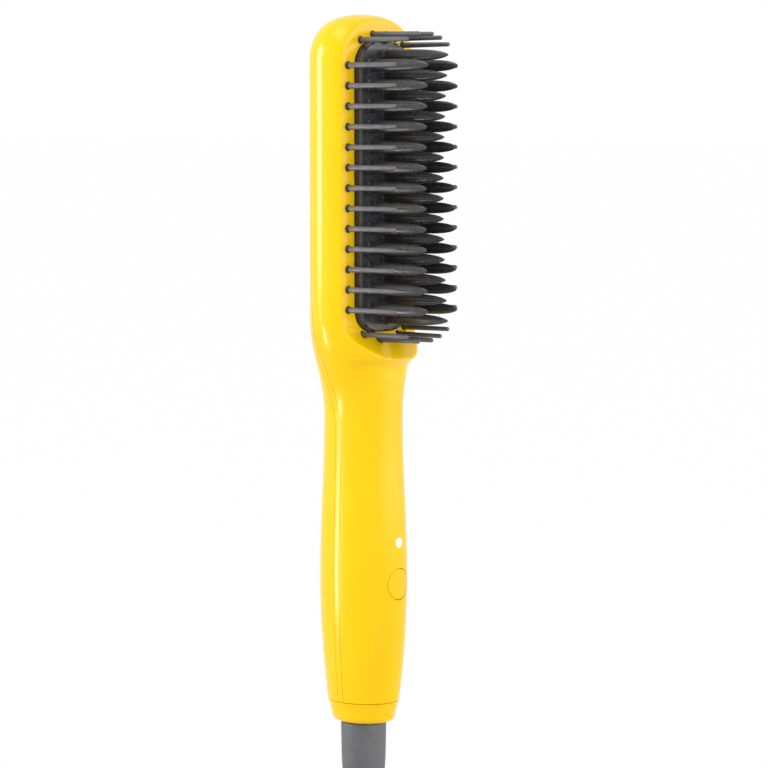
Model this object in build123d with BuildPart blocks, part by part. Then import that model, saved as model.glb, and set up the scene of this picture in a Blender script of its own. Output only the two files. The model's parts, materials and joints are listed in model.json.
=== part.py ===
from build123d import *
import math
import os

os.makedirs("parts", exist_ok=True)

# A heated straightening brush, in millimetres. Heights are above the handle's lower end,
# +X is the brush's own left, and the blades point to -Y. A "front" value is a distance
# from the handle's axis towards the blades.

# Housing
wall = 2.0
seam_gap = 0.25
cap_height = 8.8
foot_half_width = 11.7
foot_half_depth = 13.3
grip_half_width = 15.8
grip_half_depth = 18.1
grip_height = 58.0
neck_half_width = 14.2
neck_half_depth = 16.2
neck_height = 122.0
head_half_width = 24.5
head_back = 18.3
head_height = 160.0
crown_height = 259.0
crown_rise = 19.4
crown_front = 14.0
crown_power = 2.5
cap_edge_radius = 3.2

# Face of the head, and the ramp at its foot that guards the fingers
face_front = 8.1
chin_front = 21.0
chin_share = 0.5
chin_top_share = 0.64
ramp_top = head_height - 5.0
ramp_angle = 41.25
ramp_radius = 9.0

# Parting line, which runs down the sides of the handle and behind the head
seam_low_height = 118.0
seam_high_height = 168.0
seam_head_back = 9.0

# Comb plate and its blades
plate_half_width = 15.6
plate_rise = 3.0
plate_low_margin = 0.5
plate_high_margin = 8.5
plate_low = ramp_top + plate_low_margin
plate_high = crown_height + plate_high_margin
plate_centre = (plate_low + plate_high) / 2
plate_half_length = (plate_high - plate_low) / 2
plate_corner_radius = 9.5
plate_gap = 0.4
plate_edge_radius = 0.8
flange_width = 1.0
flange_thickness = 1.6
blade_half_height = 2.4
blade_half_thickness = 1.5
blade_row_spacing = 9.5
side_blades = 13
middle_blades = 14
blade_end_margin = 9.02
blade_pitch = 2 * (plate_half_length - blade_end_margin) / (side_blades - 1)
side_blade_length = 26.8
middle_blade_length = 28.0
side_blade_flare = 1.2
middle_blade_flare = 2.7

# Cool pins round the plate
pin_column = 19.7
pin_root_radius = 1.2
pin_tip_radius = 0.85
pin_length = 23.0
pin_clearance = 0.4
pin_arc_rise = 12.4
pin_arc_places = (-12.0, -4.4, 4.2, 9.7, 14.6)
carrier_thickness = 1.6
carrier_margin = 1.4
carrier_ledge = 2.0

# Heater stack in the plate's pocket
pocket_half_width = 11.0
pocket_end_margin = 8.5
pocket_half_length = plate_half_length - pocket_end_margin
pocket_floor = 3.0
film_thickness = 0.2
electrode_thickness = 0.3
ptc_thickness = 2.4
ptc_width = 15.0
ptc_gap = 1.0
clamp_thickness = 1.5
clamp_post_radius = 3.0
clamp_post_inset = 5.0
stack_margin = 2.5
lead_column = 6.0
lead_radius = 0.8
sensor_lead_radius = 0.5
fuse_radius = 1.9
fuse_length = 10.0
fuse_rise = 7.5
bead_radius = 1.3
bead_length = 4.0
bead_drop = 12.0
sensor_lead_columns = (2.8, 4.0)
shield_thickness = 0.5
shield_front = -2.6
shield_half_width = 13.0
shield_end_margin = 10.5
shield_half_length = plate_half_length - shield_end_margin
shield_post_radius = 1.8
shield_post_column = 9.0
shield_post_inset = 15.0
shield_post_reach = shield_half_length - shield_post_inset

# Screws: shank and head
screw_radius = 1.1
screw_head_radius = 2.1
screw_head_height = 1.3
screw_length = 6.0
screw_spare = 1.0
carrier_screw_length = 4.5
small_gap = 0.05
boss_radius = 1.9

# Control board, button and light
board_front = 3.0
board_thickness = 1.6
board_half_width = 11.0
board_low = 33.0
board_top_margin = 16.0
board_high = neck_height - board_top_margin
board_post_low_margin = 9.0
board_post_high_margin = 18.0
board_post_heights = (board_low + board_post_low_margin, board_high - board_post_high_margin)
board_post_radius = 2.8
button_drop = 1.9
button_height = grip_height - button_drop
button_radius = 6.1
button_gap = 0.25
button_cap_back = 12.8
button_flange_radius = 7.3
button_flange_thickness = 1.2
button_travel = 0.6
button_rest_gap = 0.1
collar_thickness = 1.3
switch_width = 6.2
switch_height = 3.6
plunger_radius = 1.7
plunger_height = 1.6
light_rise = 16.4
light_height = button_height + light_rise
light_radius = 1.95
led_radius = 1.5
led_height = 4.4
triac_column = 5.0
triac_drop = 9.0
triac_thickness = 4.6
triac_width = 10.0
triac_height = 7.0
capacitor_column = 4.0
capacitor_drop = 8.0
capacitor_width = 7.0
capacitor_length = 12.0
capacitor_height = 6.5
chip_column = 7.5
chip_width = 5.0
chip_height = 1.2
lead_start = 8.0
snap_width = 6.0
snap_thickness = 1.3
snap_reach = 4.0

# Cord swivel
boot_radius = 9.0
boot_waist_radius = 8.7
boot_waist = 18.0
boot_end_radius = 5.6
boot_length = 34.0
boot_gap = 0.3
cord_radius = 3.4
spindle_radius = 4.5
spindle_bore = 3.0
spindle_depth = 12.0
spindle_top = 20.0
spindle_flange_radius = 6.6
spindle_flange_thickness = 2.5
swivel_gap = 0.3
running_gap = 0.08
socket_radius = 8.6
socket_floor = 3.0
socket_base = 2.5
chamber_radius = 6.9
retainer_thickness = 1.6
ring_height = 2.0
lower_ring_radius = 5.0
upper_ring_radius = 5.7
lower_ring_level = 12.0
upper_ring_level = 16.0
strip_thickness = 0.4
strip_width = 3.0
strip_gap = 0.1
spigot_height = 4.0


def front_plane(front):
    """Plane square to the blades, whose normal points to the front."""
    return Plane.XZ.offset(front)


def section(height, half_width, front, back):
    """Face of two half ellipses that share their width: a front one and a back one."""
    level = Plane.XY.offset(height)
    rear_half = Edge.make_ellipse(half_width, back, level, start_angle=0, end_angle=180)
    front_half = Edge.make_ellipse(half_width, front, level, start_angle=180, end_angle=360)
    return Face(Wire([rear_half, front_half]))


def mix(low, high, share):
    """Value that lies the given share of the way from low to high."""
    return low + (high - low) * share


def ease(share):
    """Smooth step from 0 to 1."""
    return (1 - math.cos(math.pi * min(max(share, 0), 1))) / 2


def housing_stations(inset, every):
    """Sections of the housing from below the foot to the crown, drawn in by the inset.

    Each is height, half width, front depth and back depth.
    """
    rows = [(-4.0, foot_half_width, foot_half_depth, foot_half_depth)]
    for step in range(0, 7, every):
        swell = math.sin(math.pi / 2 * (step / 6) ** 1.3) ** 0.8
        half_width = mix(foot_half_width, grip_half_width, swell)
        half_depth = mix(foot_half_depth, grip_half_depth, swell)
        rows.append((grip_height * (step / 6) ** 1.3, half_width, half_depth, half_depth))
    for step in range(every, 5, every):
        half_width = mix(grip_half_width, neck_half_width, ease(step / 4))
        half_depth = mix(grip_half_depth, neck_half_depth, ease(step / 4))
        rows.append((mix(grip_height, neck_height, step / 4), half_width, half_depth, half_depth))
    for step in range(every, 13, every):
        share = step / 12
        chin = ease((share - chin_share) / (chin_top_share - chin_share))
        rows.append((
            mix(neck_height, head_height, share),
            mix(neck_half_width, head_half_width, ease(share)),
            mix(neck_half_depth, chin_front, chin),
            mix(neck_half_depth, head_back, ease(share)),
        ))
    rows = [(z, w - inset, f - inset, b - inset) for z, w, f, b in rows]
    for step in range(9):
        share = math.sin(math.pi / 2 * step / 8.6)
        size = (1 - share**crown_power) ** (1 / crown_power)
        rows.append((
            crown_height + share * (crown_rise - inset),
            size * (head_half_width - inset),
            size * (mix(chin_front, crown_front, share) - inset),
            size * (head_back - inset),
        ))
    return rows


def housing_form(inset, every):
    """Solid of the housing's outside, or of its inside when drawn in by the wall."""
    with BuildPart() as form:
        loft([section(*row) for row in housing_stations(inset, every)], ruled=True)
    return form.part


def face_cutter(depth):
    """All that lies in front of the head's face and above its ramp, sunk by the depth."""
    slope = math.tan(math.radians(ramp_angle))
    corner = ramp_top + depth * (slope - 1 / math.cos(math.radians(ramp_angle)))
    front = face_front - depth
    reach = 60.0
    top = crown_height + reach
    with BuildPart() as cutter:
        with BuildSketch(Plane.YZ):
            with BuildLine():
                Polyline(
                    (-front, top),
                    (-front, corner),
                    (-front - reach, corner - reach * slope),
                    (-front - reach, top),
                    close=True,
                )
            make_face()
        extrude(amount=2 * head_half_width, both=True)
        bend = cutter.edges().filter_by(Axis.X).sort_by(Axis.Y)[-2:].sort_by(Axis.Z)[0]
        fillet(bend, ramp_radius + depth)
    return cutter.part


def rear_side(shift):
    """All that lies behind the parting line, moved back by the shift."""
    top = crown_height + 60.0
    with BuildPart() as side:
        with BuildSketch(Plane.YZ):
            with BuildLine():
                FilletPolyline(
                    (shift, -20.0),
                    (shift, seam_low_height),
                    (shift + seam_head_back, seam_high_height),
                    (shift + seam_head_back, top),
                    radius=30.0,
                )
                Polyline(
                    (shift + seam_head_back, top),
                    (4 * head_back, top),
                    (4 * head_back, -20.0),
                    (shift, -20.0),
                )
            make_face()
        extrude(amount=2 * head_half_width, both=True)
    return side.part


def plate_outline(growth, mode=Mode.ADD):
    """Outline of the plate, grown all round, in the open sketch."""
    across = 2 * (plate_half_width + growth)
    along = 2 * (plate_half_length + growth)
    RectangleRounded(across, along, plate_corner_radius + growth, mode=mode)


# Levels that follow from the sizes above
face_back = face_front - wall
plate_top = face_front + plate_rise
gasket_thickness = 1.3
flange_top = face_back - gasket_thickness
plate_back = flange_top - flange_thickness
carrier_back = plate_back - carrier_thickness
pocket_roof = plate_top - pocket_floor
stack_back = pocket_roof - 2 * film_thickness - 2 * electrode_thickness - ptc_thickness
clamp_back = stack_back - clamp_thickness
first_blade = plate_centre - (side_blades - 1) * blade_pitch / 2
last_blade = plate_centre + (side_blades - 1) * blade_pitch / 2
board_back = board_front - board_thickness
clamp_post_reach = pocket_half_length - clamp_post_inset
ptc_pitch = 2 * (clamp_post_reach - clamp_post_radius - stack_margin) / 3
ptc_length = ptc_pitch - ptc_gap
snap_places = (grip_height, grip_half_width), (neck_height, neck_half_width)
snap_inset = wall + 0.6
spindle_flange_low = socket_floor + socket_base + swivel_gap
retainer_low = spindle_flange_low + spindle_flange_thickness + swivel_gap
retainer_top = retainer_low + retainer_thickness


def pin_places():
    """Places of the cool pins: two columns, and an arc over and under the plate."""
    places = []
    for index in range(side_blades):
        height = first_blade + index * blade_pitch
        places += [(-pin_column, height), (pin_column, height)]
    for across in pin_arc_places:
        lift = pin_arc_rise * math.sqrt(1 - (across / pin_column) ** 2)
        places += [(across, last_blade + lift), (across, first_blade - lift)]
    return places


def carrier_screw_places():
    """Screws of the pin carrier, midway between pins of the two columns."""
    heights = [first_blade + (index + 0.5) * blade_pitch for index in (0, 5, 11)]
    return [(side * pin_column, height) for side in (-1, 1) for height in heights]


outer_form = housing_form(0.0, 2)
inner_form = housing_form(wall, 2)
mid_wall_form = housing_form(wall / 2, 2)

# Outside of the housing with the face and the ramp cut, and the hollow behind them
with BuildPart() as body_block:
    add(outer_form)
    add(face_cutter(0.0), mode=Mode.SUBTRACT)
with BuildPart() as hollow_block:
    add(inner_form)
    add(face_cutter(wall), mode=Mode.SUBTRACT)

shell_block = body_block.part - hollow_block.part

# Screw bosses, collars behind the button and the light, and the snap tongues' roots
with BuildPart() as front_fittings:
    with BuildSketch(front_plane(plate_back)):
        with Locations(*carrier_screw_places()):
            Circle(boss_radius)
    extrude(amount=face_back - plate_back + wall / 2)
    with BuildSketch(front_plane(button_cap_back + 0.2)):
        with Locations((0, button_height)):
            Circle(button_radius + button_gap + collar_thickness)
    extrude(amount=grip_half_depth)
    with BuildSketch(front_plane(board_front + led_height + 2.0)):
        with Locations((0, light_height)):
            Circle(light_radius + small_gap + collar_thickness)
    extrude(amount=grip_half_depth)
    for height, half_width in snap_places:
        for side in (-1, 1):
            with Locations((side * (half_width - snap_inset + wall / 2), -snap_reach + 0.5, height)):
                Box(wall, snap_reach, snap_width)
    add(mid_wall_form, mode=Mode.INTERSECT)

# Front housing
with BuildPart() as front_housing:
    add(shell_block)
    add(rear_side(-seam_gap / 2), mode=Mode.SUBTRACT)
    with BuildSketch(Plane.XY.offset(-20)):
        Circle(4 * head_half_width)
    extrude(amount=20 + cap_height, mode=Mode.SUBTRACT)
    add(front_fittings)
    # Snap tongues that hold the rear housing
    for height, half_width in snap_places:
        for side in (-1, 1):
            with Locations((side * (half_width - snap_inset - snap_thickness / 2), 0, height)):
                Box(snap_thickness, 2 * snap_reach, snap_width)
    with BuildSketch(front_plane(plate_back)):
        with Locations(*carrier_screw_places()):
            Circle(screw_radius + small_gap)
    extrude(amount=screw_length - carrier_thickness - screw_spare, mode=Mode.SUBTRACT)
    with BuildSketch(front_plane(board_front)):
        with Locations((0, button_height)):
            Circle(button_radius + button_gap)
        with Locations((0, light_height)):
            Circle(light_radius + small_gap)
    extrude(amount=2 * grip_half_depth, mode=Mode.SUBTRACT)
    # Opening for the comb plate, and a hole for each cool pin
    with BuildSketch(front_plane(0)):
        with Locations((0, plate_centre)):
            plate_outline(plate_gap)
        with Locations(*pin_places()):
            Circle(pin_root_radius + pin_clearance)
    extrude(amount=2 * chin_front, mode=Mode.SUBTRACT)

# Posts for the control board and the heat shield
with BuildPart() as rear_posts:
    with BuildSketch(front_plane(board_back)):
        with Locations(*[(0, height) for height in board_post_heights]):
            Circle(board_post_radius)
    extrude(amount=-(board_back + neck_half_depth))
    with BuildSketch(front_plane(shield_front - shield_thickness)):
        with Locations((0, plate_centre)):
            with GridLocations(2 * shield_post_column, 2 * shield_post_reach, 2, 2):
                Circle(shield_post_radius)
    extrude(amount=-head_back)
    add(mid_wall_form, mode=Mode.INTERSECT)

# Rear housing
with BuildPart() as rear_housing:
    add(shell_block)
    add(rear_side(seam_gap / 2), mode=Mode.INTERSECT)
    with BuildSketch(Plane.XY.offset(-20)):
        Circle(4 * head_half_width)
    extrude(amount=20 + cap_height, mode=Mode.SUBTRACT)
    add(rear_posts)
    with BuildSketch(front_plane(board_back)):
        with Locations(*[(0, height) for height in board_post_heights]):
            Circle(screw_radius + small_gap)
    extrude(amount=-screw_length, mode=Mode.SUBTRACT)

# End cap: a ring at the handle's foot with a spigot inside the two housings
foot, low_grip = housing_stations(0.0, 2)[1:3]
cap_share = (cap_height - seam_gap) / low_grip[0]
with BuildPart() as end_cap:
    cap_sections = []
    for step in range(5):
        turn = math.pi / 2 * step / 4
        draw = cap_edge_radius * (1 - math.sin(turn))
        cap_sections.append(
            section(cap_edge_radius * (1 - math.cos(turn)), *[half - draw for half in foot[1:]])
        )
    top_sizes = [mix(low, high, cap_share) for low, high in zip(foot[1:], low_grip[1:])]
    cap_sections.append(section(cap_height - seam_gap, *top_sizes))
    loft(cap_sections, ruled=True)
    with BuildSketch(Plane.XY.offset(cap_height - 2 * seam_gap)):
        Ellipse(foot_half_width - wall + 0.4, foot_half_depth - wall + 0.4)
    extrude(amount=spigot_height)
    with BuildSketch(Plane.XY.offset(socket_floor)):
        Circle(socket_radius + small_gap)
    extrude(amount=2 * cap_height, mode=Mode.SUBTRACT)
    with BuildSketch(Plane.XY.offset(-1)):
        Circle(spindle_radius + 2 * swivel_gap)
    extrude(amount=2 * cap_height, mode=Mode.SUBTRACT)


def blade(across, height, length):
    """One blade of the comb, eight-sided and drawn in to its tip."""
    with BuildPart() as one_blade:
        for share, size in ((0.0, 1.0), (0.55, 0.98), (0.86, 0.68), (1.0, 0.3)):
            corners = []
            for step in range(8):
                angle = math.radians(22.5 + 45 * step)
                x = across + blade_half_thickness * size * math.cos(angle)
                z = height + blade_half_height * size * math.sin(angle)
                corners.append((x, z))
            with BuildSketch(front_plane(plate_top + share * length)):
                Polygon(*corners, align=None)
        loft(ruled=True)
    return one_blade.part


def blade_places():
    """Across, height and length of every blade; the row's middle is the shortest."""
    places = []
    half = plate_half_length
    for index in range(side_blades):
        height = first_blade + index * blade_pitch
        length = side_blade_length + side_blade_flare * ((height - plate_centre) / half) ** 2
        places += [(-blade_row_spacing, height, length), (blade_row_spacing, height, length)]
    for index in range(middle_blades):
        height = first_blade + (index - 0.5) * blade_pitch
        length = middle_blade_length + middle_blade_flare * ((height - plate_centre) / half) ** 2
        places.append((0, height, length))
    return places


with BuildPart() as comb_blades:
    add([blade(*place) for place in blade_places()])

# Comb plate that carries the blades, with the heater's pocket in its back
with BuildPart() as comb_plate:
    with BuildSketch(front_plane(plate_back)):
        with Locations((0, plate_centre)):
            plate_outline(flange_width)
    extrude(amount=flange_thickness)
    with BuildSketch(front_plane(flange_top)):
        with Locations((0, plate_centre)):
            plate_outline(0)
    extrude(amount=plate_top - flange_top)
    chamfer(comb_plate.edges().group_by(Axis.Y)[0], plate_edge_radius)
    with BuildSketch(front_plane(plate_back)):
        with Locations((0, plate_centre)):
            Rectangle(2 * pocket_half_width, 2 * pocket_half_length)
    extrude(amount=pocket_roof - plate_back, mode=Mode.SUBTRACT)
    with BuildSketch(front_plane(stack_back)):
        with Locations((0, plate_centre - clamp_post_reach), (0, plate_centre + clamp_post_reach)):
            Circle(clamp_post_radius)
            Circle(screw_radius + small_gap, mode=Mode.SUBTRACT)
    extrude(amount=pocket_roof - stack_back)

# Gasket between the plate's flange and the back of the face
with BuildPart() as plate_gasket:
    with BuildSketch(front_plane(flange_top)):
        with Locations((0, plate_centre)):
            plate_outline(flange_width - 2 * small_gap)
            plate_outline(small_gap, mode=Mode.SUBTRACT)
    extrude(amount=gasket_thickness)

# Cool pins, and the frame behind the flange that carries them
pin_top = face_front + pin_length
with BuildPart() as one_pin:
    for level, radius in (
        (plate_back, pin_root_radius),
        (pin_top - pin_tip_radius, pin_tip_radius),
        (pin_top, pin_tip_radius / 2),
    ):
        with BuildSketch(front_plane(level)):
            RegularPolygon(radius, 10)
    loft(ruled=True)
with BuildPart() as cool_pins:
    with Locations(*[(across, 0, height) for across, height in pin_places()]):
        add(one_pin)

with BuildPart() as pin_carrier:
    with BuildSketch(front_plane(carrier_back)):
        with Locations((0, plate_centre)):
            plate_outline(pin_column + carrier_margin - plate_half_width)
            plate_outline(-carrier_ledge, mode=Mode.SUBTRACT)
        with Locations(*carrier_screw_places()):
            Circle(screw_radius + small_gap, mode=Mode.SUBTRACT)
    extrude(amount=carrier_thickness)

# Heater: three resistor stones between two electrodes in an insulating sleeve
with BuildPart() as ptc_stones:
    with BuildSketch(front_plane(stack_back + film_thickness + electrode_thickness)):
        with Locations((0, plate_centre)):
            with GridLocations(0, ptc_pitch, 1, 3):
                Rectangle(ptc_width, ptc_length)
    extrude(amount=ptc_thickness)

stack_half_length = 1.5 * ptc_pitch
with BuildPart() as electrodes:
    for level in (stack_back + film_thickness, pocket_roof - film_thickness - electrode_thickness):
        with BuildSketch(front_plane(level)):
            with Locations((0, plate_centre)):
                Rectangle(ptc_width, 2 * stack_half_length)
        extrude(amount=electrode_thickness)
    for side, level in ((1, stack_back + film_thickness), (-1, pocket_roof - film_thickness)):
        low = plate_centre - stack_half_length - 1.6
        with BuildSketch(front_plane(level if side < 0 else level + electrode_thickness)):
            with Locations((side * lead_column, low + 1.0)):
                Rectangle(1.6, 2.0)
        extrude(amount=-electrode_thickness)
        with BuildSketch(front_plane(level if side < 0 else level + electrode_thickness)):
            with Locations((side * lead_column, low)):
                Rectangle(1.6, 0.4)
        extrude(amount=-(level - lead_radius - board_back + 1.0))

with BuildPart() as insulation_sleeve:
    with BuildSketch(Plane.XY.offset(plate_centre - stack_half_length)):
        with Locations((0, -(stack_back + pocket_roof) / 2)):
            Rectangle(ptc_width + 1.0, pocket_roof - stack_back)
            Rectangle(
                ptc_width + 1.0 - 2 * film_thickness,
                pocket_roof - stack_back - 2 * film_thickness,
                mode=Mode.SUBTRACT,
            )
    extrude(amount=2 * stack_half_length)

with BuildPart() as heater_clamp:
    with BuildSketch(front_plane(clamp_back)):
        with Locations((0, plate_centre)):
            Rectangle(ptc_width, 2 * (clamp_post_reach + clamp_post_radius))
        with Locations((0, plate_centre - clamp_post_reach), (0, plate_centre + clamp_post_reach)):
            Circle(screw_radius + small_gap, mode=Mode.SUBTRACT)
        low = plate_centre - stack_half_length - 1.6
        with Locations((-lead_column, low), (lead_column, low)):
            Rectangle(4.0, 3.4, mode=Mode.SUBTRACT)
    extrude(amount=clamp_thickness)


def screw(across, front, height, length, towards):
    """One pan-head screw whose head sits on a face and whose shank points along towards."""
    with BuildPart() as one_screw:
        with BuildSketch(front_plane(front)):
            with Locations((across, height)):
                Circle(screw_head_radius)
        extrude(amount=-towards * screw_head_height)
        with BuildSketch(front_plane(front)):
            with Locations((across, height)):
                Circle(screw_radius)
        extrude(amount=towards * length)
    return one_screw.part


with BuildPart() as clamp_screws:
    for side in (-1, 1):
        place = plate_centre + side * clamp_post_reach
        add(screw(0, clamp_back, place, clamp_thickness + ptc_thickness, 1))

with BuildPart() as carrier_screws:
    for across, height in carrier_screw_places():
        add(screw(across, carrier_back, height, carrier_screw_length, 1))

with BuildPart() as board_screws:
    for height in board_post_heights:
        add(screw(0, board_front, height, screw_length, -1))

# Thermal fuse and temperature sensor, bonded to the back of the clamp
with BuildPart() as thermal_fuse:
    with BuildSketch(Plane.XY.offset(plate_centre - stack_half_length + fuse_rise)):
        with Locations((lead_column, -(clamp_back - fuse_radius))):
            Circle(fuse_radius)
    extrude(amount=fuse_length)

with BuildPart() as temperature_sensor:
    with BuildSketch(Plane.XY.offset(plate_centre - bead_drop)):
        with Locations((-lead_column, -(clamp_back - bead_radius))):
            Circle(bead_radius)
    extrude(amount=bead_length)

with BuildPart() as heat_shield:
    with BuildSketch(front_plane(shield_front)):
        with Locations((0, plate_centre)):
            Rectangle(2 * shield_half_width, 2 * shield_half_length)
    extrude(amount=-shield_thickness)

# Wires, laid straight behind the board and the plate
lead_front = board_back - lead_radius - 0.1
lead_top = plate_centre - stack_half_length - 1.9
with BuildPart() as heater_leads:
    with BuildSketch(Plane.XY.offset(board_high - lead_start)):
        with Locations((-lead_column, -lead_front), (lead_column, -lead_front)):
            Circle(lead_radius)
    extrude(amount=lead_top - board_high + lead_start)

sensor_front = min(clamp_back - bead_radius, board_back - sensor_lead_radius - 0.1)
with BuildPart() as sensor_leads:
    with BuildSketch(Plane.XY.offset(board_high - lead_start)):
        with Locations(*[(-column, -sensor_front) for column in sensor_lead_columns]):
            Circle(sensor_lead_radius)
    extrude(amount=plate_centre - bead_drop - board_high + lead_start)

# Control board and what stands on it
with BuildPart() as control_board:
    with BuildSketch(front_plane(board_back)):
        with Locations((0, (board_low + board_high) / 2)):
            Rectangle(2 * board_half_width, board_high - board_low)
        with Locations(*[(0, height) for height in board_post_heights]):
            Circle(screw_radius + small_gap, mode=Mode.SUBTRACT)
    extrude(amount=board_thickness)

with BuildPart() as switch_body:
    with BuildSketch(front_plane(board_front)):
        with Locations((0, button_height)):
            Rectangle(switch_width, switch_width)
    extrude(amount=switch_height)
    with BuildSketch(front_plane(board_front + 1.0)):
        with Locations((0, button_height)):
            Circle(plunger_radius + small_gap)
    extrude(amount=switch_height, mode=Mode.SUBTRACT)

plunger_top = board_front + switch_height + plunger_height
with BuildPart() as switch_plunger:
    with BuildSketch(front_plane(board_front + 1.0 + button_travel + button_rest_gap)):
        with Locations((0, button_height)):
            Circle(plunger_radius)
    extrude(amount=plunger_top - board_front - 1.0 - button_travel - button_rest_gap)

with BuildPart() as triac:
    with BuildSketch(front_plane(board_front)):
        with Locations((triac_column, board_high - triac_drop)):
            Rectangle(triac_thickness, triac_width)
    extrude(amount=triac_height)

with BuildPart() as film_capacitor:
    with BuildSketch(front_plane(board_front)):
        with Locations((-capacitor_column, board_high - capacitor_drop)):
            Rectangle(capacitor_width, capacitor_length)
    extrude(amount=capacitor_height)
    fillet(film_capacitor.edges().group_by(Axis.Y)[0], 0.6)

with BuildPart() as control_chip:
    with BuildSketch(front_plane(board_front)):
        with Locations((-chip_column, button_height)):
            Rectangle(chip_width, chip_width)
    extrude(amount=chip_height)

with BuildPart() as status_led:
    with BuildSketch(front_plane(board_front)):
        with Locations((0, light_height)):
            Circle(led_radius)
    extrude(amount=led_height)

# Light guide and power button, whose outer ends follow the handle
with BuildPart() as light_guide:
    with BuildSketch(front_plane(board_front + led_height + 0.2)):
        with Locations((0, light_height)):
            Circle(light_radius)
    extrude(amount=2 * grip_half_depth)
    add(outer_form, mode=Mode.INTERSECT)

with BuildPart() as power_button:
    with BuildSketch(front_plane(button_cap_back)):
        with Locations((0, button_height)):
            Circle(button_radius)
    extrude(amount=grip_half_depth)
    add(outer_form, mode=Mode.INTERSECT)
    with BuildSketch(front_plane(button_cap_back)):
        with Locations((0, button_height)):
            Circle(button_flange_radius)
    extrude(amount=-button_flange_thickness)
    with BuildSketch(front_plane(plunger_top + button_rest_gap)):
        with Locations((0, button_height)):
            Circle(plunger_radius + 0.5)
    extrude(amount=button_cap_back - button_flange_thickness - plunger_top - button_rest_gap)

# Cord swivel: the boot and spindle turn in a socket held by the end cap
with BuildPart() as swivel_socket:
    with BuildSketch(Plane.XY.offset(socket_floor)):
        Circle(socket_radius)
        Circle(spindle_radius + running_gap, mode=Mode.SUBTRACT)
    extrude(amount=retainer_low - socket_floor)
    with BuildSketch(Plane.XY.offset(socket_floor + socket_base)):
        Circle(chamber_radius)
    extrude(amount=retainer_low, mode=Mode.SUBTRACT)

with BuildPart() as swivel_retainer:
    with BuildSketch(Plane.XY.offset(retainer_low)):
        Circle(socket_radius)
        Circle(spindle_radius + running_gap, mode=Mode.SUBTRACT)
    extrude(amount=retainer_thickness)

with BuildPart() as swivel_spindle:
    with BuildSketch(Plane.XY.offset(-spindle_depth)):
        Circle(spindle_radius)
    extrude(amount=spindle_depth + spindle_top)
    with BuildSketch(Plane.XY.offset(spindle_flange_low)):
        Circle(spindle_flange_radius)
    extrude(amount=spindle_flange_thickness)
    with BuildSketch(Plane.XY.offset(-spindle_depth)):
        Circle(spindle_bore)
    extrude(amount=spindle_depth + spindle_top, mode=Mode.SUBTRACT)

ring_levels = ((lower_ring_level, lower_ring_radius), (upper_ring_level, upper_ring_radius))
with BuildPart() as slip_rings:
    for level, radius in ring_levels:
        with BuildSketch(Plane.XY.offset(level)):
            Circle(radius)
            Circle(spindle_radius + small_gap, mode=Mode.SUBTRACT)
        extrude(amount=ring_height)

with BuildPart() as contact_strips:
    for side, (level, radius) in zip((-1, 1), ring_levels):
        across = side * (radius + strip_gap + strip_thickness / 2)
        with BuildSketch(Plane.XY.offset(retainer_top)):
            with Locations((across, 0)):
                Rectangle(strip_thickness, strip_width)
        extrude(amount=level + ring_height - retainer_top)

with BuildPart() as supply_leads:
    for side, (level, radius) in zip((-1, 1), ring_levels):
        across = side * (upper_ring_radius + strip_gap + strip_thickness + lead_radius)
        with BuildSketch(Plane.XY.offset(level + ring_height)):
            with Locations((across, -lead_front)):
                Circle(lead_radius)
        extrude(amount=board_low + lead_start - level - ring_height)

with BuildPart() as cord_boot:
    with BuildSketch(Plane.XZ):
        with BuildLine():
            Polyline(
                (cord_radius, -boot_length),
                (boot_end_radius - 1.0, -boot_length),
                (boot_end_radius, -boot_length + 1.0),
                (boot_waist_radius, -boot_waist),
                (boot_radius, -boot_gap),
                (spindle_radius + small_gap, -boot_gap),
                (spindle_radius + small_gap, -spindle_depth),
                (cord_radius, -spindle_depth),
                close=True,
            )
        make_face()
    revolve(axis=Axis.Z)

for label, piece in (
    ("front_housing", front_housing),
    ("rear_housing", rear_housing),
    ("end_cap", end_cap),
    ("comb_plate", comb_plate),
    ("comb_blades", comb_blades),
    ("plate_gasket", plate_gasket),
    ("pin_carrier", pin_carrier),
    ("cool_pins", cool_pins),
    ("carrier_screws", carrier_screws),
    ("ptc_stones", ptc_stones),
    ("electrodes", electrodes),
    ("insulation_sleeve", insulation_sleeve),
    ("heater_clamp", heater_clamp),
    ("clamp_screws", clamp_screws),
    ("thermal_fuse", thermal_fuse),
    ("temperature_sensor", temperature_sensor),
    ("heat_shield", heat_shield),
    ("heater_leads", heater_leads),
    ("sensor_leads", sensor_leads),
    ("control_board", control_board),
    ("board_screws", board_screws),
    ("switch_body", switch_body),
    ("switch_plunger", switch_plunger),
    ("triac", triac),
    ("film_capacitor", film_capacitor),
    ("control_chip", control_chip),
    ("status_led", status_led),
    ("light_guide", light_guide),
    ("power_button", power_button),
    ("swivel_socket", swivel_socket),
    ("swivel_retainer", swivel_retainer),
    ("swivel_spindle", swivel_spindle),
    ("slip_rings", slip_rings),
    ("contact_strips", contact_strips),
    ("supply_leads", supply_leads),
    ("cord_boot", cord_boot),
):
    piece.part.label = label
    export_step(piece.part, f"parts/{label}.step")
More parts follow.
